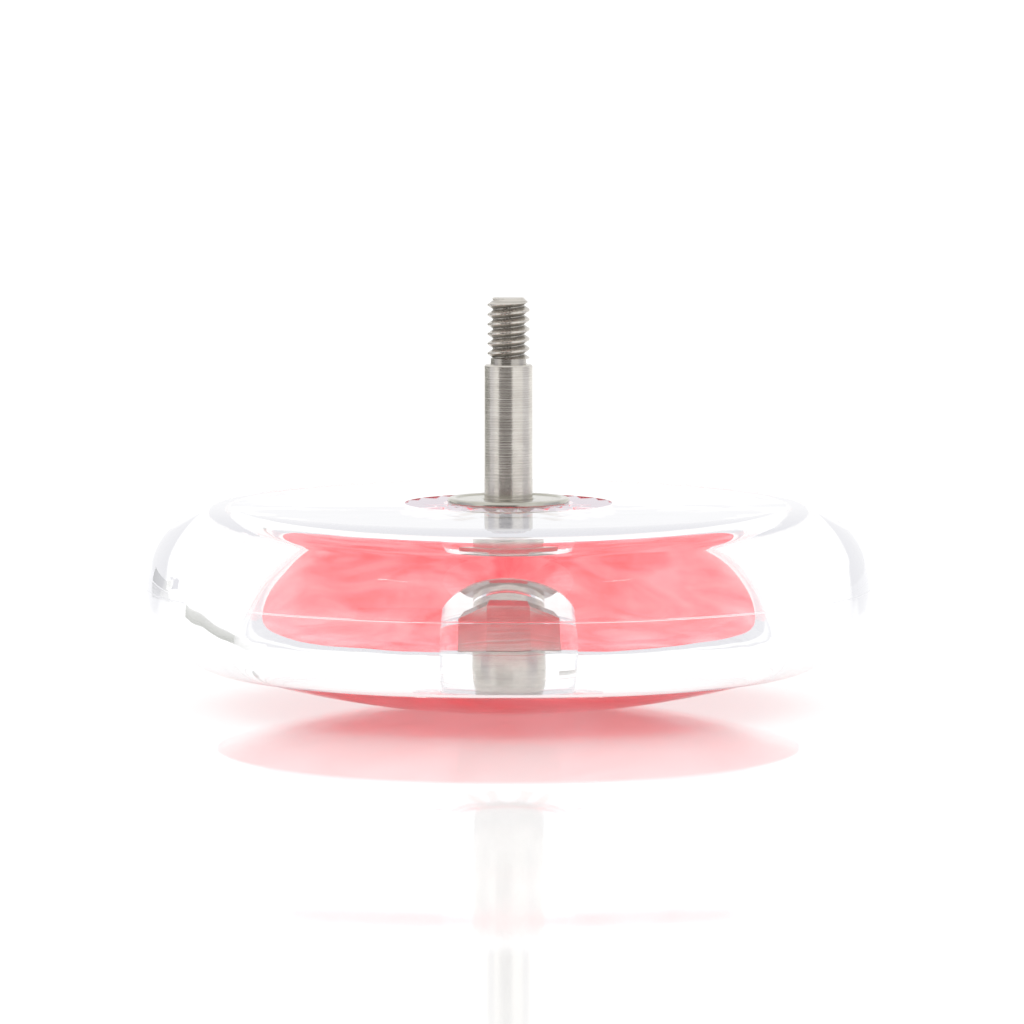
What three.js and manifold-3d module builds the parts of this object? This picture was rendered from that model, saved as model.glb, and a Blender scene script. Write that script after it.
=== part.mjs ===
// One half of a take-apart clear plastic yo-yo, the half that carries the axle,
// lying on its side cap with the axle standing up. Millimetres, +Z up along the axle.
// The origin is on the axle's line, at the crown of the side cap.

import * as THREE from "three";
import { mergeVertices } from "three/addons/utils/BufferGeometryUtils.js";
import Module from "manifold-3d";

const wasm = await Module();
wasm.setup();

// ---- driving dimensions -------------------------------------------------------------------

// clear half
const HALF_RADIUS = 29.75;      // widest, at the parting line
const RIM_RADIUS = 6.8;         // round section of the solid rim
const FACE_Z = 16.7;            // flat face towards the string gap
const LIP_CUT = 0.3;            // how much the lip's flat edge takes off the round section
const LIP_WALL = 0.897;         // plastic left outside the side cap
const WEB_THICKNESS = 2.1;      // plate between the face and the hollow
const SEAT_LEDGE = 2.4;         // width of the ledge that the side cap sits against
const HOLLOW_FLARE = 2.26;      // how much wider the hollow is under the web than at the ledge
const HOLLOW_BOW = 0.38;        // outward bow of the hollow's wall
const HOLLOW_FILLET = 1.2;
const BOSS_RADIUS = 5.7;        // hub that holds the axle
const BOSS_FILLET = 0.5;
const BOSS_CLEARANCE = 1.85;    // from the boss's end down to the side cap's inside

// ring of moulded rays round the axle, which grips the string
const RAY_COUNT = 22;
const RAY_INNER_GAP = 0.3;      // from the washer's edge to the inner end of the rays
const RAY_LENGTH = 3.2;
const RAY_DEPTH = 0.45;
const RAY_CREST = 0.12;         // flat left on top of each ray

// side cap
const CAP_WALL = 1.3;
const CAP_FLAT_RADIUS = 6.0;    // small flat at the crown, which it stands on

// axle
const SHANK_RADIUS = 1.985;
const HEX_STAND = 0.59;         // how far the hexagon's flats stand out from the shank
const HEX_NECK = 0.55;          // round end below the hexagon
const HEX_LENGTH = 2.6;
const HEX_CHAMFER = 0.35;
const SHANK_ABOVE_FACE = 11.37; // from the gap face to the end of the full shank
const RELIEF_RADIUS = 1.47;
const RELIEF_LENGTH = 0.5;
const THREAD_MAJOR_RADIUS = 1.74;
const THREAD_MINOR_RADIUS = 1.3;
const THREAD_PITCH = 0.794;
const THREAD_LENGTH = 4.98;     // from the relief to the tip
const TIP_CHAMFER = 0.4;

// thrust washer
const WASHER_RADIUS = 5.0;
const WASHER_THICKNESS = 0.42;
const WASHER_BEVEL = 0.15;
const WASHER_LAND = 0.62;       // width of the raised outer ring
const WASHER_DISH = 0.12;       // depth of the dish inside that ring

// clearances
const MOULD_GAP = 0.05;         // plastic shrunk round the axle
const CAP_GAP = 0.15;           // side cap in its seat
const WASHER_BORE_GAP = 0.1;    // washer on the axle
const WASHER_SEAT_GAP = 0.03;   // washer above the face

// mesh fineness
const ROUND_SIDES = 60;
const AXLE_SIDES = 36;          // a multiple of six, so that the hexagon keeps its corners
const ARC_STEPS = 8;
const ROWS_PER_TURN = 5;

// ---- sizes that follow ----------------------------------------------------------------------

const PARTING_Z = FACE_Z - RIM_RADIUS;
const RIM_CENTRE_RADIUS = HALF_RADIUS - RIM_RADIUS;
const LIP_Z = PARTING_Z - RIM_RADIUS + LIP_CUT;
const LIP_ANGLE = -Math.asin((PARTING_Z - LIP_Z) / RIM_RADIUS);
const LIP_RADIUS = RIM_CENTRE_RADIUS + RIM_RADIUS * Math.cos(LIP_ANGLE);
const SEAT_Z = LIP_Z + CAP_WALL;
const SEAT_RADIUS = LIP_RADIUS - LIP_WALL;
const CAP_RADIUS = SEAT_RADIUS - CAP_GAP;
const BORE_RADIUS = SHANK_RADIUS + MOULD_GAP;
const HOLLOW_RADIUS = SEAT_RADIUS - SEAT_LEDGE;
const CEILING_Z = FACE_Z - WEB_THICKNESS;
const BOSS_END_Z = CAP_WALL + BOSS_CLEARANCE;
const RAY_INNER_RADIUS = WASHER_RADIUS + RAY_INNER_GAP;
const RAY_OUTER_RADIUS = RAY_INNER_RADIUS + RAY_LENGTH;
const HEX_ACROSS_FLATS = 2 * (SHANK_RADIUS + HEX_STAND);
const HEX_BOTTOM_Z = BOSS_END_Z + HEX_NECK;
const HEX_TOP_Z = HEX_BOTTOM_Z + HEX_LENGTH;
const SHOULDER_Z = FACE_Z + SHANK_ABOVE_FACE;
const THREAD_START_Z = SHOULDER_Z + RELIEF_LENGTH;
const AXLE_TOP_Z = THREAD_START_Z + THREAD_LENGTH;
const WASHER_BOTTOM_Z = FACE_Z + WASHER_SEAT_GAP;

// ---- helpers --------------------------------------------------------------------------------

function material(color, roughness, metalness, opacity = 1) {
  const transparent = opacity < 1;
  return new THREE.MeshStandardMaterial({ color, roughness, metalness, opacity, transparent });
}

// Points on a circle in the (radius, height) plane, angles in radians from the outward axis.
function arc(centreR, centreZ, radius, fromAngle, toAngle, steps = ARC_STEPS) {
  const points = [];
  for (let i = 0; i <= steps; i += 1) {
    const angle = fromAngle + ((toAngle - fromAngle) * i) / steps;
    points.push([centreR + radius * Math.cos(angle), centreZ + radius * Math.sin(angle)]);
  }
  return points;
}

// Turn a (radius, height) outline about +Z. The outline runs with the material on its left.
function turned(outline, sides = ROUND_SIDES) {
  const points = outline.map(([r, z]) => new THREE.Vector2(Math.max(r, 0), z));
  const geometry = new THREE.LatheGeometry(points, sides);
  geometry.rotateX(Math.PI / 2);
  return geometry;
}

function toSolid(geometry) {
  const bare = geometry.index ? geometry.toNonIndexed() : geometry.clone();
  bare.deleteAttribute("normal");
  bare.deleteAttribute("uv");
  const merged = mergeVertices(bare, 1e-5);
  const vertProperties = new Float32Array(merged.attributes.position.array);
  const triVerts = new Uint32Array(merged.index.array);
  return new wasm.Manifold(new wasm.Mesh({ numProp: 3, vertProperties, triVerts }));
}

function toGeometry(solid) {
  const mesh = solid.getMesh();
  const geometry = new THREE.BufferGeometry();
  geometry.setAttribute("position", new THREE.BufferAttribute(mesh.vertProperties, 3));
  geometry.setIndex(new THREE.BufferAttribute(mesh.triVerts, 1));
  geometry.computeVertexNormals();
  return geometry;
}

function named(name, geometry, look) {
  const mesh = new THREE.Mesh(geometry, look);
  mesh.name = name;
  return mesh;
}

// ---- clear half -----------------------------------------------------------------------------

// The hollow's wall from the ledge up to the web's fillet: it flares and bows outwards.
function hollowWall() {
  const top = CEILING_Z - HOLLOW_FILLET;
  const wall = [];
  for (let i = 0; i <= ARC_STEPS; i += 1) {
    const share = i / ARC_STEPS;
    const bow = 4 * HOLLOW_BOW * share * (1 - share);
    wall.push([HOLLOW_RADIUS + HOLLOW_FLARE * share + bow, SEAT_Z + (top - SEAT_Z) * share]);
  }
  return wall;
}

// The solid of revolution: face, round rim, lip, cap seat, hollow, hub boss and axle bore.
function halfOutline() {
  const boreTop = [BORE_RADIUS, FACE_Z];
  const rim = arc(RIM_CENTRE_RADIUS, PARTING_Z, RIM_RADIUS, LIP_ANGLE, Math.PI / 2, 2 * ARC_STEPS);
  const bossCorner = BOSS_RADIUS + BOSS_FILLET;
  const bossFillet = CEILING_Z - BOSS_FILLET;
  const cornerRadius = HOLLOW_RADIUS + HOLLOW_FLARE - HOLLOW_FILLET;
  const corner = arc(cornerRadius, CEILING_Z - HOLLOW_FILLET, HOLLOW_FILLET, Math.PI / 2, 0, 5);
  return [
    boreTop,
    [BORE_RADIUS, BOSS_END_Z],
    [BOSS_RADIUS, BOSS_END_Z],
    ...arc(bossCorner, bossFillet, BOSS_FILLET, Math.PI, Math.PI / 2, 4),
    ...corner.slice(0, -1),
    ...hollowWall().reverse(),
    [SEAT_RADIUS, SEAT_Z],
    [SEAT_RADIUS, LIP_Z],
    ...rim,
    boreTop,
  ];
}

// The hexagonal chamber that the plastic forms round the axle's hexagon.
function hexChamber() {
  const corner = (HEX_ACROSS_FLATS / 2 + MOULD_GAP) / Math.cos(Math.PI / 6);
  const height = HEX_TOP_Z - HEX_BOTTOM_Z + 2 * MOULD_GAP;
  const geometry = new THREE.CylinderGeometry(corner, corner, height, 6);
  geometry.rotateX(Math.PI / 2);
  geometry.rotateZ(Math.PI / 6);
  geometry.translate(0, 0, (HEX_TOP_Z + HEX_BOTTOM_Z) / 2);
  return geometry;
}

// One V groove of the ray ring, cut outwards along +X into the face. It stands as far above
// the face as it reaches below, so its sides pass through the face at half their width.
function rayGroove() {
  const section = (radius) => {
    const halfWidth = radius * Math.tan(Math.PI / RAY_COUNT) - RAY_CREST / 2;
    const side = 2 * halfWidth;
    return [[radius, -side, RAY_DEPTH], [radius, side, RAY_DEPTH], [radius, 0, -RAY_DEPTH]];
  };
  const corners = [...section(RAY_INNER_RADIUS), ...section(RAY_OUTER_RADIUS)];
  const geometry = new THREE.BufferGeometry();
  const positions = new Float32Array(corners.flatMap(([x, y, z]) => [x, y, z + FACE_Z]));
  geometry.setAttribute("position", new THREE.BufferAttribute(positions, 3));
  geometry.setIndex([0, 2, 1, 3, 4, 5, 0, 1, 4, 0, 4, 3, 1, 2, 5, 1, 5, 4, 2, 0, 3, 2, 3, 5]);
  return geometry;
}

function clearHalf() {
  let solid = toSolid(turned(halfOutline()));
  solid = solid.subtract(toSolid(hexChamber()));
  const groove = toSolid(rayGroove());
  for (let i = 0; i < RAY_COUNT; i += 1) {
    solid = solid.subtract(groove.rotate([0, 0, ((i + 0.5) * 360) / RAY_COUNT]));
  }
  return toGeometry(solid);
}

// ---- side cap -------------------------------------------------------------------------------

// Outer dome: a sphere through the crown flat's edge and the cap's rim.
function sideCap() {
  const domeHeight = LIP_Z;
  const across = CAP_RADIUS ** 2 - CAP_FLAT_RADIUS ** 2;
  const centreZ = (across + domeHeight ** 2) / (2 * domeHeight);
  const sphere = Math.hypot(CAP_FLAT_RADIUS, centreZ);
  const dome = [];
  for (let i = 0; i <= ARC_STEPS; i += 1) {
    const r = CAP_FLAT_RADIUS + ((CAP_RADIUS - CAP_FLAT_RADIUS) * i) / ARC_STEPS;
    dome.push([r, centreZ - Math.sqrt(sphere ** 2 - r ** 2)]);
  }
  const inside = dome.map(([r, z]) => [r, z + CAP_WALL]).reverse();
  inside[0][1] -= CAP_GAP;
  return turned([[0, 0], ...dome, ...inside, [0, CAP_WALL]]);
}

// ---- axle -----------------------------------------------------------------------------------

// Radius of the hexagon at an angle, with a flat facing -Y.
function hexRadius(angle, acrossFlats) {
  const sector = Math.PI / 3;
  const fromFlat = ((((angle - Math.PI / 2) % sector) + 1.5 * sector) % sector) - sector / 2;
  return acrossFlats / 2 / Math.cos(fromFlat);
}

// Radius of the thread: flat crest, flat root and straight flanks, round a helix.
function threadRadius(angle, z) {
  const turn = (z - THREAD_START_Z) / THREAD_PITCH - angle / (2 * Math.PI);
  const phase = Math.abs((turn - Math.floor(turn)) * 2 - 1);
  const flank = Math.min(Math.max((phase - 0.125) / 0.625, 0), 1);
  return THREAD_MINOR_RADIUS + (THREAD_MAJOR_RADIUS - THREAD_MINOR_RADIUS) * flank;
}

// Rows of the axle from the bottom up: a height and the radius at each angle.
function axleRows() {
  const round = (radius) => () => radius;
  const hex = (acrossFlats) => (angle) => hexRadius(angle, acrossFlats);
  const hexTrimmed = HEX_ACROSS_FLATS - 2 * HEX_CHAMFER;
  const rows = [
    [BOSS_END_Z, round(SHANK_RADIUS)],
    [HEX_BOTTOM_Z, round(SHANK_RADIUS)],
    [HEX_BOTTOM_Z, hex(hexTrimmed)],
    [HEX_BOTTOM_Z + HEX_CHAMFER, hex(HEX_ACROSS_FLATS)],
    [HEX_TOP_Z, hex(HEX_ACROSS_FLATS)],
    [HEX_TOP_Z, round(SHANK_RADIUS)],
    [SHOULDER_Z, round(SHANK_RADIUS)],
    [SHOULDER_Z, round(RELIEF_RADIUS)],
    [THREAD_START_Z, round(RELIEF_RADIUS)],
  ];
  const threadEnd = AXLE_TOP_Z - TIP_CHAMFER;
  const steps = Math.round(((threadEnd - THREAD_START_Z) / THREAD_PITCH) * ROWS_PER_TURN);
  for (let i = 0; i <= steps; i += 1) {
    const z = THREAD_START_Z + ((threadEnd - THREAD_START_Z) * i) / steps;
    rows.push([z, (angle) => threadRadius(angle, z)]);
  }
  rows.push([AXLE_TOP_Z, round(THREAD_MINOR_RADIUS)]);
  return rows;
}

// Skin the rows and close both ends with a fan.
function axle() {
  const rows = axleRows();
  const positions = [0, 0, rows[0][0]];
  for (const [z, radiusAt] of rows) {
    for (let side = 0; side < AXLE_SIDES; side += 1) {
      const angle = (2 * Math.PI * side) / AXLE_SIDES;
      const r = radiusAt(angle);
      positions.push(r * Math.cos(angle), r * Math.sin(angle), z);
    }
  }
  positions.push(0, 0, AXLE_TOP_Z);
  const top = rows.length * AXLE_SIDES + 1;
  const vertex = (row, side) => 1 + row * AXLE_SIDES + (side % AXLE_SIDES);
  const faces = [];
  for (let side = 0; side < AXLE_SIDES; side += 1) {
    faces.push(0, vertex(0, side + 1), vertex(0, side));
    for (let row = 0; row + 1 < rows.length; row += 1) {
      faces.push(vertex(row, side), vertex(row, side + 1), vertex(row + 1, side + 1));
      faces.push(vertex(row, side), vertex(row + 1, side + 1), vertex(row + 1, side));
    }
    faces.push(top, vertex(rows.length - 1, side), vertex(rows.length - 1, side + 1));
  }
  const geometry = new THREE.BufferGeometry();
  geometry.setAttribute("position", new THREE.BufferAttribute(new Float32Array(positions), 3));
  geometry.setIndex(faces);
  geometry.computeVertexNormals();
  return geometry;
}

// ---- thrust washer --------------------------------------------------------------------------

// A turned ring with bevelled edges and a shallow dish inside its raised land.
function thrustWasher() {
  const bore = SHANK_RADIUS + WASHER_BORE_GAP;
  const bottom = WASHER_BOTTOM_Z;
  const top = bottom + WASHER_THICKNESS;
  const dishRadius = WASHER_RADIUS - WASHER_LAND;
  return turned([
    [bore, bottom],
    [WASHER_RADIUS - WASHER_BEVEL / 2, bottom],
    [WASHER_RADIUS, bottom + WASHER_BEVEL / 2],
    [WASHER_RADIUS, top - WASHER_BEVEL],
    [WASHER_RADIUS - WASHER_BEVEL, top],
    [dishRadius, top],
    [dishRadius - WASHER_DISH, top - WASHER_DISH],
    [bore, top - WASHER_DISH],
    [bore, bottom],
  ], AXLE_SIDES);
}

// ---- the model ------------------------------------------------------------------------------

const clearPlastic = material(0xf4f5f7, 0.05, 0, 0.35);
const redPlastic = material(0xe8413f, 0.1, 0, 0.7);
const steel = material(0xb9b3aa, 0.3, 1);

const yoyoHalf = new THREE.Group();
yoyoHalf.add(named("clear_half", clearHalf(), clearPlastic));
yoyoHalf.add(named("side_cap", sideCap(), redPlastic));
yoyoHalf.add(named("axle", axle(), steel));
yoyoHalf.add(named("thrust_washer", thrustWasher(), steel));

export default yoyoHalf;
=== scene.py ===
# %% [markdown]
# # Half of a clear yo-yo, standing on its red side cap
#
# The CAD part gives the frame: four named solids and the joints between them. This lesson
# builds the finished look around it. Each piece is turned again at a finer grain, with the
# small moulding and tooling details that the CAD solids leave out, and then gets its own
# procedural finish. All shape sizes are in millimetres and become metres in one place.

# %% Load the frame
import math

import bpy
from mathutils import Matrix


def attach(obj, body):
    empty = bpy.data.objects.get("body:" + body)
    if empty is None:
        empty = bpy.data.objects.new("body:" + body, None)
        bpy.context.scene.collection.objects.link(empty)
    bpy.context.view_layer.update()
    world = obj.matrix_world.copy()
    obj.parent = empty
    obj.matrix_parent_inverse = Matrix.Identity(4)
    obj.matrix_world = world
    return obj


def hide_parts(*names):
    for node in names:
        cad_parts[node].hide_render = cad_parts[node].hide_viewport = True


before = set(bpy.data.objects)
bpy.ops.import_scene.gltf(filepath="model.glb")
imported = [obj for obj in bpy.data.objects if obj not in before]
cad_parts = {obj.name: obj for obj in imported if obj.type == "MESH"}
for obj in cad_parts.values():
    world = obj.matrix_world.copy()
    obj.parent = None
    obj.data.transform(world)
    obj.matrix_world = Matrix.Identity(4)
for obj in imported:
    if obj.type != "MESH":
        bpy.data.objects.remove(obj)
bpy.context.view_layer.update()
print("frame nodes:", sorted(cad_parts))

# %% [markdown]
# ## Camera
# The object is small and is looked at from close by with a long lens, slightly from above.
# The camera comes first, because every later decision about fineness depends on how large
# one millimetre is in the frame. A long lens keeps the round rim from looking stretched.

# %% Camera
MM = 0.001
scene = bpy.context.scene
TILT_DOWN = 5.13

camera_data = bpy.data.cameras.new("bench_camera")
camera_data.sensor_width = 36
camera_data.lens = 258.4
camera_data.clip_start = 0.01
camera = bpy.data.objects.new("bench_camera", camera_data)
camera.location = (0.00029, -0.600, 0.0698)
camera.rotation_euler = (math.radians(90 - TILT_DOWN), 0, 0)
scene.collection.objects.link(camera)
scene.camera = camera
scene.view_settings.view_transform = "Standard"
print("camera height", camera.location.z, "m, lens", camera_data.lens, "mm")

# %% [markdown]
# ## Shader maths in plain expressions
# A finish needs sums such as `1 - mask * 0.3`. Wiring a Math node by hand for each operator
# hides the idea, so one small class wraps a node's output and turns Python operators into
# Math nodes. Anything else, from a noise to the surface shader, comes from `add`.

# %% Socket expressions
class Wire:
    """One output socket, with operators that add Math nodes."""

    def __init__(self, tree, socket):
        self.tree = tree
        self.socket = socket

    def add(self, kind, settings=None, **inputs):
        """Add a node of this kind, set it up, and return its first output as a Wire."""
        node = self.tree.nodes.new(kind)
        for name, value in (settings or {}).items():
            if name == "stops":
                fill_ramp(node.color_ramp, value)
            else:
                setattr(node, name, value)
        for name, value in inputs.items():
            key = int(name[1:]) if name[1:].isdigit() else name.replace("_", " ")
            feed(self.tree, node.inputs[key], value)
        enabled = [socket for socket in node.outputs if socket.enabled]
        return Wire(self.tree, enabled[0])

    def out(self, name):
        """Another output of the same node."""
        return Wire(self.tree, self.socket.node.outputs[name])

    def math(self, operation, *values):
        inputs = {f"i{place}": value for place, value in enumerate(values)}
        return self.add("ShaderNodeMath", {"operation": operation}, **inputs)

    def __add__(self, other):
        return self.math("ADD", self, other)

    def __radd__(self, other):
        return self.math("ADD", other, self)

    def __rsub__(self, other):
        return self.math("SUBTRACT", other, self)

    def __mul__(self, other):
        return self.math("MULTIPLY", self, other)

    def __truediv__(self, other):
        return self.math("DIVIDE", self, other)

    def __pow__(self, other):
        return self.math("POWER", self, other)


def feed(tree, socket, value):
    """Link a Wire, or set a plain value."""
    if isinstance(value, Wire):
        tree.links.new(value.socket, socket)
    else:
        socket.default_value = value


def fill_ramp(ramp, stops):
    """Give a colour ramp its stops, as (place, colour) pairs."""
    while len(ramp.elements) < len(stops):
        ramp.elements.new(0.5)
    for element, (place, colour) in zip(ramp.elements, stops):
        element.position = place
        element.color = (*colour, 1)


def new_finish(name):
    """An empty material, and its tree's object coordinates in millimetres."""
    material = bpy.data.materials.new(name)
    material.use_nodes = True
    tree = material.node_tree
    tree.nodes.clear()
    start = Wire(tree, None)
    place = start.add("ShaderNodeTexCoord").out("Object")
    millimetres = place.add("ShaderNodeVectorMath", {"operation": "SCALE"}, i0=place, Scale=1000.0)
    return material, millimetres


def close_finish(material, shader):
    """Send the surface shader to the material's output."""
    output = material.node_tree.nodes.new("ShaderNodeOutputMaterial")
    material.node_tree.links.new(shader.socket, output.inputs["Surface"])
    return material


print("operators ready: + - * / **")

# %% [markdown]
# ## Studio
# The toy stands on a glossy white sheet in a very bright white room, so the sheet and the
# background burn out to the same white. Clear plastic has no colour of its own: it is drawn
# only by what it bends into view. Two soft lamps give it small highlights, and a few grey
# cards, kept out of direct sight, give its edges something darker to show.

# %% World, sheet, lamps and cards
WORLD_STRENGTH = 1.08
world = bpy.data.worlds.new("white_room")
scene.world = world
world.use_nodes = True
backdrop = world.node_tree.nodes["Background"]
backdrop.inputs["Color"].default_value = (1, 1, 1, 1)
backdrop.inputs["Strength"].default_value = WORLD_STRENGTH


def flat_sheet(name, corners):
    mesh = bpy.data.meshes.new(name)
    mesh.from_pydata(corners, [], [(0, 1, 2, 3)])
    sheet = bpy.data.objects.new(name, mesh)
    scene.collection.objects.link(sheet)
    return sheet


floor = flat_sheet("acrylic_sheet", [(-9, -9, 0), (9, -9, 0), (9, 9, 0), (-9, 9, 0)])


def card(name, centre, width, height, turn, tilt, grey, through):
    """A card seen in reflections, and through the plastic if asked, but never directly."""
    half_w = width / 2
    half_h = height / 2
    corners = [(-half_w, 0, -half_h), (half_w, 0, -half_h), (half_w, 0, half_h), (-half_w, 0, half_h)]
    sheet = flat_sheet(name, corners)
    sheet.location = centre
    sheet.rotation_euler = (math.radians(tilt), 0, math.radians(turn))
    sheet.visible_camera = False
    sheet.visible_shadow = False
    sheet.visible_diffuse = False
    sheet.visible_transmission = through
    material = bpy.data.materials.new(name)
    material.use_nodes = True
    surface = material.node_tree.nodes["Principled BSDF"]
    surface.inputs["Base Color"].default_value = (0, 0, 0, 1)
    surface.inputs["Specular IOR Level"].default_value = 0.0
    surface.inputs["Emission Color"].default_value = (*grey, 1)
    surface.inputs["Emission Strength"].default_value = 1.0
    sheet.data.materials.append(material)
    return sheet


CARDS = [
    ("lamp_left", (-0.75, -0.75, 1.05), 0.22, 0.30, -45, 42, (15, 15, 15), True),
    ("lamp_right", (0.70, -0.75, 1.05), 0.22, 0.30, 43, 42, (15, 15, 15), True),
    ("side_grey_left", (-1.5, 0.1, 0.25), 1.2, 0.5, 90, 0, (0.72, 0.72, 0.78), True),
    ("side_grey_right", (1.5, 0.1, 0.25), 1.2, 0.5, 90, 0, (0.72, 0.72, 0.78), True),
    ("dark_front", (-0.092, -0.25, 0.03), 0.34, 0.07, 0, 0, (0.055, 0.038, 0.030), False),
    ("olive_back", (-0.25, 0.15, 0.012), 0.28, 0.022, 45, 0, (0.17, 0.18, 0.14), False),
]
for name, centre, width, height, turn, tilt, grey, through in CARDS:
    card(name, centre, width, height, turn, tilt, grey, through)
print("stage:", 1 + len(CARDS), "sheets, world strength", WORLD_STRENGTH)

# %% [markdown]
# ## The sheet's polish
# A cast acrylic sheet mirrors the toy softly and hides nothing. A slow, faint change in its
# polish keeps the mirror image from looking like a copy. A little light of its own stands
# in for the light that such a sheet passes on from below.

# %% Glossy white sheet
sheet_finish, sheet_place = new_finish("white_acrylic")
sheet_clouds = sheet_place.add("ShaderNodeTexNoise", Vector=sheet_place, Scale=0.02, Detail=2.0)
sheet_surface = sheet_place.add(
    "ShaderNodeBsdfPrincipled",
    Base_Color=(0.955, 0.955, 0.955, 1),
    Roughness=0.035 + sheet_clouds * 0.03,
    IOR=1.45,
    Emission_Color=(1, 1, 1, 1),
    Emission_Strength=0.16,
)
floor.data.materials.append(close_finish(sheet_finish, sheet_surface))
print("sheet finish:", sheet_finish.name)

# %% [markdown]
# ## Turning a piece
# All four pieces are turned, and most details run round them. A row is one ring of points:
# a radius and a height, each either a number or a function of the angle, so the rays of the
# gap face and the helix of the thread are rows like any other. Joining the rows gives clean
# quads, which a spun curve with boolean cuts would not.

# %% Row helpers
def ring_arc(centre_r, centre_z, radius, start, end, steps):
    """Points on a circle in the (radius, height) plane, angles in degrees."""
    points = []
    for step in range(steps + 1):
        angle = math.radians(start + (end - start) * step / steps)
        points.append((centre_r + radius * math.cos(angle), centre_z + radius * math.sin(angle)))
    return points


def straight(start, end, steps):
    """Points between two corners, without the first one."""
    return [
        (start[0] + (end[0] - start[0]) * step / steps, start[1] + (end[1] - start[1]) * step / steps)
        for step in range(1, steps + 1)
    ]


def at(value, angle):
    return value(angle) if callable(value) else value


def turn_piece(name, rows, sides, closed, sharp=28):
    """Skin rows of points round +Z. A row at radius 0 is one point on the axis."""
    points = []
    rings = []
    for radius, height in rows:
        first = len(points)
        if radius == 0:
            points.append((0, 0, at(height, 0) * MM))
            rings.append([first] * sides)
            continue
        for side in range(sides):
            angle = 2 * math.pi * side / sides
            r = at(radius, angle) * MM
            points.append((r * math.cos(angle), r * math.sin(angle), at(height, angle) * MM))
        rings.append(list(range(first, first + sides)))
    pairs = list(zip(rings, rings[1:]))
    if closed:
        pairs.append((rings[-1], rings[0]))
    faces = []
    for low, high in pairs:
        for side in range(sides):
            after = (side + 1) % sides
            corners = (low[side], low[after], high[after], high[side])
            face = tuple(dict.fromkeys(corners))
            if len(face) > 2:
                faces.append(face)
    mesh = bpy.data.meshes.new(name)
    mesh.from_pydata(points, [], faces)
    mesh.validate()
    mesh.shade_smooth()
    mesh.set_sharp_from_angle(angle=math.radians(sharp))
    piece = bpy.data.objects.new(name, mesh)
    scene.collection.objects.link(piece)
    print(name, "has", len(rows), "rows and", len(faces), "faces")
    return piece


# %% [markdown]
# ## Clear half: its section
# The real half is one thick moulding: a flat face towards the string gap, a solid round rim
# whose section is almost a full circle, a lip with a seat for the side cap, and a hollow
# with a hub in its middle. The rim works as a strong lens, so its curve has to be smooth:
# it gets many more rows than a piece of opaque plastic would need. The bore is a hair
# smaller than the steel, because the plastic is shrunk onto the axle with no air between.

# %% Clear half: sizes
HALF_RADIUS = 29.75
RIM_RADIUS = 6.8
FACE_Z = 16.7
LIP_Z = 3.4
SEAT_Z = 4.7
SEAT_RADIUS = 24.0
HOLLOW_RADIUS = 21.6
HOLLOW_FLARE = 2.26
HOLLOW_BOW = 0.38
CEILING_Z = 14.6
HUB_CEILING_Z = 14.3
CEILING_FILLET = 1.2
BOSS_RADIUS = 5.7
BOSS_END_Z = 3.15
BOSS_FILLET = 0.5
BOSS_CHAMFER = 0.25
SHANK_RADIUS = 1.985
SNUG = 0.02
PARTING_Z = FACE_Z - RIM_RADIUS
RIM_CENTRE_RADIUS = HALF_RADIUS - RIM_RADIUS
HALF_SIDES = 396
RAY_COUNT = 22
RAY_INNER = 5.3
RAY_OUTER = 8.5
RAY_DEPTH = 0.45
RAY_CREST = 0.12
WALL_STEPS = 40
RIM_STEPS = 150
HAIR = 0.001

# %% [markdown]
# ## Clear half: details
# Three details make the moulding readable. Twenty-two V-shaped rays round the axle grip the
# string. A hairline of flash runs round the widest place, where the two halves of the mould
# met. A small square pad stands a little proud where the plastic was let in and snapped off.

# %% Clear half: rays, flash and gate pad
def ray_height(radius):
    """Height of the gap face at a radius inside the ray ring, as a function of the angle."""
    pitch = 2 * math.pi / RAY_COUNT
    half_width = radius * math.tan(pitch / 2) - RAY_CREST / 2

    def height(angle):
        across = abs(angle % pitch - pitch / 2) * radius
        depth = RAY_DEPTH * max(0.0, 1 - across / half_width)
        return FACE_Z - depth

    return height


FLASH_HEIGHT = 0.035
FLASH_WIDTH = 0.07
FLASH_ROOM = 0.1
GATE_ANGLE = math.radians(204.5)
GATE_HALF_ANGLE = math.radians(1.3)
GATE_Z = 11.2
GATE_HALF_HEIGHT = 0.36
GATE_HEIGHT = 0.09


def with_gate(radius, height):
    """Radius of a rim row near the gate, raised over the pad's width."""
    if abs(height - GATE_Z) > GATE_HALF_HEIGHT:
        return radius
    return lambda angle: radius + (GATE_HEIGHT if abs(angle - GATE_ANGLE) < GATE_HALF_ANGLE else 0)


def rim_rows():
    """The round rim from the face down to the lip, with its flash and gate pad."""
    lip_angle = -math.degrees(math.asin((PARTING_Z - LIP_Z) / RIM_RADIUS))
    rows = []
    for r, z in ring_arc(RIM_CENTRE_RADIUS, PARTING_Z, RIM_RADIUS, 90, lip_angle, RIM_STEPS):
        if abs(z - PARTING_Z) < FLASH_ROOM:
            continue
        rows.append((with_gate(r, z), z))
    split = next(place for place, row in enumerate(rows) if row[1] < PARTING_Z)
    flash = [
        (HALF_RADIUS - HAIR, PARTING_Z + FLASH_WIDTH),
        (HALF_RADIUS + FLASH_HEIGHT - HAIR, PARTING_Z + FLASH_WIDTH / 3),
        (HALF_RADIUS + FLASH_HEIGHT - HAIR, PARTING_Z - FLASH_WIDTH / 3),
        (HALF_RADIUS - HAIR, PARTING_Z - FLASH_WIDTH),
    ]
    return rows[:split] + flash + rows[split:]


# %% [markdown]
# ## Clear half: the hollow
# The hollow's wall leans outwards and bows a little, and meets the plate under the face in a
# small fillet. That hidden shape is what the side view shows as stacked pale and red bands.

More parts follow.
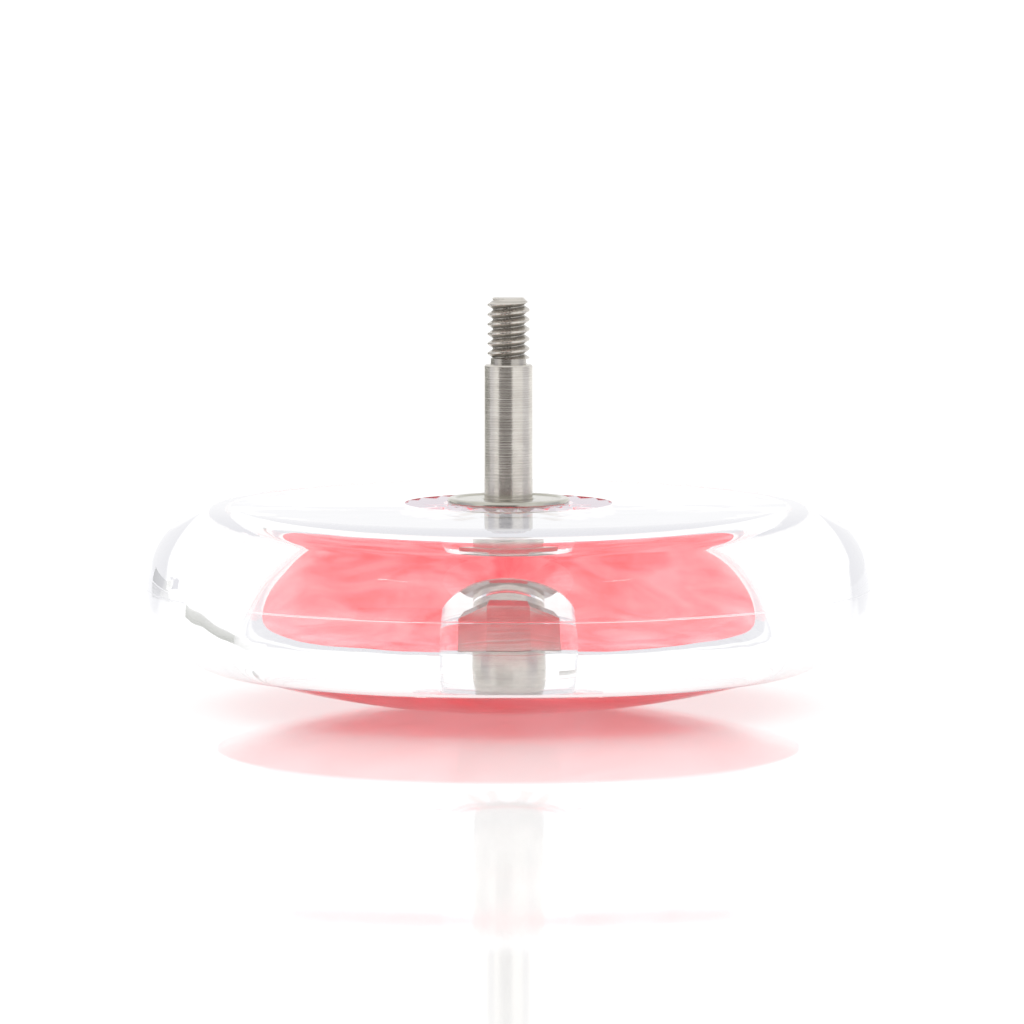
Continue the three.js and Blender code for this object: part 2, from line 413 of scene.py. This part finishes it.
# %% Clear half: rows
def wall_rows():
    """The hollow's wall from the seat to the ceiling, then the ceiling to the boss."""
    rows = []
    wall_top = CEILING_Z - CEILING_FILLET
    for step in range(WALL_STEPS + 1):
        share = step / WALL_STEPS
        radius = HOLLOW_RADIUS + HOLLOW_FLARE * share + 4 * HOLLOW_BOW * share * (1 - share)
        rows.append((radius, SEAT_Z + (wall_top - SEAT_Z) * share))
    corner = HOLLOW_RADIUS + HOLLOW_FLARE - CEILING_FILLET
    rows += ring_arc(corner, wall_top, CEILING_FILLET, 0, 90, 16)[1:]
    inner = (BOSS_RADIUS + BOSS_FILLET, HUB_CEILING_Z)
    rows += straight(rows[-1], inner, 8)
    rows += ring_arc(inner[0], inner[1] - BOSS_FILLET, BOSS_FILLET, 90, 180, 8)[1:]
    return rows


bore = SHANK_RADIUS - SNUG
half_rows = [(bore, FACE_Z), (3.6, FACE_Z), (RAY_INNER - HAIR, FACE_Z)]
for k in range(5):
    ray_radius = RAY_INNER + (RAY_OUTER - RAY_INNER) * k / 4
    half_rows.append((ray_radius, ray_height(ray_radius)))
half_rows += [(RAY_OUTER + HAIR, FACE_Z)]
half_rows += straight((RAY_OUTER + HAIR, FACE_Z), (RIM_CENTRE_RADIUS - 0.05, FACE_Z), 5)
half_rows += rim_rows()
half_rows += [(SEAT_RADIUS, LIP_Z), (SEAT_RADIUS, SEAT_Z)]
half_rows += wall_rows()
half_rows += [(BOSS_RADIUS, BOSS_END_Z + BOSS_CHAMFER), (BOSS_RADIUS - BOSS_CHAMFER, BOSS_END_Z)]
half_rows += [(bore, BOSS_END_Z)]
clear_half = turn_piece("moulded_half", half_rows[::-1], HALF_SIDES, closed=True, sharp=20)

# %% [markdown]
# ## Side cap
# The cap is a thin dome of see-through red plastic that snaps into the seat. Its outside is
# part of a large sphere with a small flat at the crown, which the toy stands on here. Its
# edge is rounded over, because a knife edge would catch no light.

# %% Side cap
CAP_RADIUS = 23.85
CAP_FLAT = 6.0
CAP_WALL = 1.3
CAP_EDGE = 0.18


def dome_height(radius):
    across = CAP_RADIUS ** 2 - CAP_FLAT ** 2
    centre = (across + LIP_Z ** 2) / (2 * LIP_Z)
    sphere = math.hypot(CAP_FLAT, centre)
    return 0.0 if radius <= CAP_FLAT else centre - math.sqrt(sphere ** 2 - radius ** 2)


dome = [CAP_FLAT + (CAP_RADIUS - CAP_EDGE - CAP_FLAT) * k / 60 for k in range(61)]
cap_rows = [(0, 0.0), (3.0, 0.0)]
cap_rows += [(r, dome_height(r)) for r in dome]
cap_rows += [(CAP_RADIUS, LIP_Z + CAP_EDGE), (CAP_RADIUS, SEAT_Z - 0.15 - CAP_EDGE)]
cap_rows += [(r, min(dome_height(r) + CAP_WALL, SEAT_Z - 0.1)) for r in dome[::-1]]
cap_rows += [(3.0, CAP_WALL), (0, CAP_WALL)]
side_cap = turn_piece("snap_cap", cap_rows, 264, closed=False)

# %% [markdown]
# ## Axle
# The axle was turned from one steel bar. From the bottom it has a hexagon that keys it into
# the hub, a long plain shank, a shoulder with a relief groove, and a rolled thread that the
# other half screws onto. The thread is a true helix: each row's radius follows the angle.

# %% Axle
HEX_FLATS = 5.15
HEX_BOTTOM_Z = 3.7
HEX_TOP_Z = 6.3
HEX_CHAMFER = 0.35
SHOULDER_Z = 28.07
RELIEF_RADIUS = 1.47
RELIEF_END_Z = 28.57
THREAD_MAJOR = 1.74
THREAD_MINOR = 1.30
THREAD_PITCH = 0.794
AXLE_TOP_Z = 33.55
TIP_RADIUS = 1.24
AXLE_SIDES = 144


def hexagon(flats):
    """Radius of a hexagon with a flat towards the front, as a function of the angle."""
    sector = math.pi / 3

    def radius(angle):
        from_flat = (angle - math.pi / 2 + sector / 2) % sector - sector / 2
        return flats / 2 / math.cos(from_flat)

    return radius


def thread(height):
    """Radius of the thread at a height: sharp V with a small flat at crest and root."""
    def radius(angle):
        turns = (height - RELIEF_END_Z) / THREAD_PITCH - angle / (2 * math.pi)
        phase = abs((turns - math.floor(turns)) * 2 - 1)
        flank = min(max((phase - 0.1) / 0.72, 0), 1)
        chamfer = TIP_RADIUS + AXLE_TOP_Z - height
        return min(THREAD_MINOR + (THREAD_MAJOR - THREAD_MINOR) * flank, chamfer)

    return radius


EASE = 0.12
axle_rows = [
    (0, BOSS_END_Z), (SHANK_RADIUS - 0.1, BOSS_END_Z), (SHANK_RADIUS, BOSS_END_Z + 0.1),
    (SHANK_RADIUS, HEX_BOTTOM_Z),
    (hexagon(HEX_FLATS - 2 * HEX_CHAMFER), HEX_BOTTOM_Z),
    (hexagon(HEX_FLATS), HEX_BOTTOM_Z + HEX_CHAMFER),
    (hexagon(HEX_FLATS), HEX_TOP_Z - 0.06),
    (hexagon(HEX_FLATS - 0.12), HEX_TOP_Z),
    (SHANK_RADIUS, HEX_TOP_Z),
]
axle_rows += straight((SHANK_RADIUS, HEX_TOP_Z), (SHANK_RADIUS, SHOULDER_Z - EASE), 10)
axle_rows += [(SHANK_RADIUS - EASE, SHOULDER_Z), (RELIEF_RADIUS, SHOULDER_Z), (RELIEF_RADIUS, RELIEF_END_Z)]
THREAD_ROWS = 220
for step in range(THREAD_ROWS + 1):
    z = RELIEF_END_Z + (AXLE_TOP_Z - RELIEF_END_Z) * step / THREAD_ROWS
    axle_rows.append((thread(z), z))
axle_rows.append((0, AXLE_TOP_Z))
axle = turn_piece("steel_axle", axle_rows, AXLE_SIDES, closed=False, sharp=24)

# %% [markdown]
# ## Thrust washer
# A loose turned ring lies on the gap face round the axle. It has a raised outer land with
# bevelled edges, which shows as a bright ring, and a shallow dish inside it.

# %% Thrust washer
WASHER_RADIUS = 5.0
WASHER_BOTTOM = FACE_Z + 0.03
WASHER_TOP = WASHER_BOTTOM + 0.42
LAND_INNER = 4.38
DISH = 0.12
WASHER_BORE = SHANK_RADIUS + 0.1
washer_rows = [
    (WASHER_BORE, WASHER_BOTTOM + 0.05), (WASHER_BORE + 0.05, WASHER_BOTTOM),
    (WASHER_RADIUS - 0.06, WASHER_BOTTOM), (WASHER_RADIUS, WASHER_BOTTOM + 0.06),
    (WASHER_RADIUS, WASHER_TOP - 0.15), (WASHER_RADIUS - 0.05, WASHER_TOP - 0.05),
    (WASHER_RADIUS - 0.15, WASHER_TOP), (LAND_INNER, WASHER_TOP),
    (LAND_INNER - 0.1, WASHER_TOP - DISH * 0.85), (LAND_INNER - 0.18, WASHER_TOP - DISH),
    (WASHER_BORE + 0.08, WASHER_TOP - DISH), (WASHER_BORE, WASHER_TOP - DISH - 0.08),
]
washer = turn_piece("washer_ring", washer_rows, 192, closed=True)

# %% [markdown]
# ## Clear plastic
# Moulded acrylic is a nearly perfect lens, but not quite: the surface carries the faint
# slow waves of a cooling moulding, and handling leaves hairline scratches. Both are far too
# shallow to model, so they are a bump, and the scratches also dull the polish a little. The
# rays round the axle are painted a faint pink, which stands in for the cap's red light.
#
# Light can be caught inside the thick rim and turn round many times. A render stops after a
# few turns and would draw black there. Light that has turned that often is therefore drawn
# as the pale grey of the room, by a mix that reads how many times the light has turned.

# %% Clear plastic finish
clear_finish, place = new_finish("polished_clear_acrylic")
PAINTED_PINK_BOTTOM_Z = 15.8
PAINTED_PINK_RADIUS = 8.6
parts = place.add("ShaderNodeSeparateXYZ", i0=place)
across = parts * parts + parts.out("Y") * parts.out("Y")
# The rays round the axle are painted pink here, standing in for the cap's red light.
painted_pink_zone = place.math("GREATER_THAN", parts.out("Z"), PAINTED_PINK_BOTTOM_Z)
painted_pink_zone = painted_pink_zone * place.math("LESS_THAN", across, PAINTED_PINK_RADIUS ** 2)
plain = (1.0, 1.0, 1.0, 1)
cap_light_pink = (1.0, 0.84, 0.88, 1)
painted_cap_light = place.add("ShaderNodeMix", {"data_type": "RGBA"}, i0=painted_pink_zone, i6=plain, i7=cap_light_pink)
waves = place.add("ShaderNodeTexNoise", Vector=place, Scale=0.16, Detail=1.0)
hairlines = place.add("ShaderNodeTexVoronoi", {"feature": "DISTANCE_TO_EDGE"}, Vector=place, Scale=0.35)
scratch = place.math("LESS_THAN", hairlines, 0.004)
smears = place.add("ShaderNodeTexNoise", Vector=place, Scale=0.25, Detail=3.0)
wave_bump = place.add("ShaderNodeBump", Strength=0.25, Distance=0.0002, Height=waves)
clear_surface = place.add(
    "ShaderNodeBsdfPrincipled",
    Base_Color=painted_cap_light.out("Result"),
    Roughness=0.004 + scratch * 0.05 + smears * 0.006,
    IOR=1.49,
    Transmission_Weight=1.0,
    Normal=wave_bump,
)
MANY_MIRRORS = 3.5
MANY_TURNS = 7.5
light_path = place.add("ShaderNodeLightPath")
trapped = place.math("MAXIMUM", place.math("GREATER_THAN", light_path.out("Glossy Depth"), MANY_MIRRORS),
                     place.math("GREATER_THAN", light_path.out("Ray Depth"), MANY_TURNS))
room_light = place.add("ShaderNodeEmission", Color=(0.78, 0.78, 0.82, 1), Strength=1.0)
clear_mixed = place.add("ShaderNodeMixShader", i0=trapped, i1=clear_surface, i2=room_light)
clear_half.data.materials.append(close_finish(clear_finish, clear_mixed))
print("clear finish:", clear_finish.name)

# %% [markdown]
# ## Red see-through plastic
# The cap lets light through and tints it, and a little of the dye scatters light back, so a
# part of the surface is diffuse red and the rest is tinted clear plastic. A slow noise varies
# the depth of the dye. The faces that look upwards also glow red: painted light, which keeps
# the red bright even over a shaded spot.

# %% Red plastic finish
red_finish, place = new_finish("see_through_red")
dye = place.add("ShaderNodeTexNoise", Vector=place, Scale=0.11, Detail=3.0, Distortion=1.6)
tint = place.add(
    "ShaderNodeValToRGB",
    {"stops": [(0.35, (1.0, 0.06, 0.09)), (0.65, (1.0, 0.36, 0.40))]},
    Fac=dye,
)
# Faces that look upwards glow red: a painted glow, not light from any lamp.
upward = place.add("ShaderNodeSeparateXYZ", i0=place.add("ShaderNodeNewGeometry").out("Normal")).out("Z")
painted_glow_side = place.math("GREATER_THAN", upward, 0.2)
black = (0.0, 0.0, 0.0, 1)
painted_glow_colour = place.add("ShaderNodeMix", {"data_type": "RGBA"}, i0=painted_glow_side, i6=black, i7=tint)
red_bump = place.add("ShaderNodeBump", Strength=0.35, Distance=0.0002, Height=dye)
red_surface = place.add(
    "ShaderNodeBsdfPrincipled",
    Base_Color=tint,
    Roughness=0.02 + dye * 0.02,
    IOR=1.49,
    Transmission_Weight=0.75,
    Emission_Color=painted_glow_colour.out("Result"),
    Emission_Strength=0.26,
    Normal=red_bump,
)
side_cap.data.materials.append(close_finish(red_finish, red_surface))
print("red finish:", red_finish.name)

# %% [markdown]
# ## Turned steel
# A lathe leaves fine rings: along the axle they stack up in height, on the washer they are
# circles. A noise that is read along the height, or along the radius, gives uneven rings
# with no sideways change. They vary the bump, the polish and very slightly the colour. The
# thread is drawn darker towards its roots, below its crests.

# %% Steel finishes
ROOT_DARK_RADIUS = 1.66
ROOT_DARK_FADE = 0.26
ROOT_DARK_BOTTOM_Z = 28.1
ROOT_DARK_TOP_Z = 33.3


def steel_finish(name, dark, light, ring_scale, along_radius, polish, root_darkening=0.0):
    material, place = new_finish(name)
    parts = place.add("ShaderNodeSeparateXYZ", i0=place)
    x = parts
    y = parts.out("Y")
    z = parts.out("Z")
    reading = (x * x + y * y) ** 0.5 if along_radius else z
    line = place.add("ShaderNodeCombineXYZ", X=x * 0.05, Y=y * 0.05, Z=reading * ring_scale)
    rings = place.add("ShaderNodeTexNoise", Vector=line, Scale=1.0, Detail=3.0)
    stains = place.add("ShaderNodeTexNoise", Vector=place, Scale=0.9, Detail=3.0)
    blend = rings * 0.6 + stains * 0.4
    colour = place.add("ShaderNodeValToRGB", {"stops": [(0.35, dark), (0.65, light)]}, Fac=blend)
    # Below the crests, towards the thread's roots, the colour turns almost black.
    depth = (ROOT_DARK_RADIUS - (x * x + y * y) ** 0.5) / ROOT_DARK_FADE
    on_thread = place.math("GREATER_THAN", z, ROOT_DARK_BOTTOM_Z) * place.math("LESS_THAN", z, ROOT_DARK_TOP_Z)
    root_mix = place.add("ShaderNodeClamp", Value=depth) * on_thread * root_darkening
    near_black_root = (0.05, 0.045, 0.04, 1)
    root_darkened = place.add("ShaderNodeMix", {"data_type": "RGBA"}, i0=root_mix, i6=colour, i7=near_black_root)
    bump = place.add("ShaderNodeBump", Strength=0.5, Distance=0.00002, Height=rings)
    surface = place.add(
        "ShaderNodeBsdfPrincipled",
        Base_Color=root_darkened.out("Result"),
        Metallic=1.0,
        Roughness=polish + rings * 0.12,
        Normal=bump,
    )
    print("steel finish:", name)
    return close_finish(material, surface)


axle.data.materials.append(
    steel_finish("turned_axle_steel", (0.50, 0.47, 0.43), (0.68, 0.65, 0.60), 9.0, False, 0.16, root_darkening=0.45))
washer.data.materials.append(
    steel_finish("turned_washer_steel", (0.44, 0.43, 0.38), (0.62, 0.60, 0.54), 7.0, True, 0.14))

# %% [markdown]
# ## Tie the pieces to the frame
# Each piece rides on the body that it moves with and stands in for its CAD node, which is
# hidden.

# %% Ride and replace
PIECES = [
    (clear_half, "half", "clear_half", "clear_plastic"),
    (side_cap, "cap", "side_cap", "red_plastic"),
    (axle, "half", "axle", "axle_steel"),
    (washer, "washer", "thrust_washer", "washer_steel"),
]
for piece, body, node, slot in PIECES:
    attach(piece, body)
    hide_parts(node)
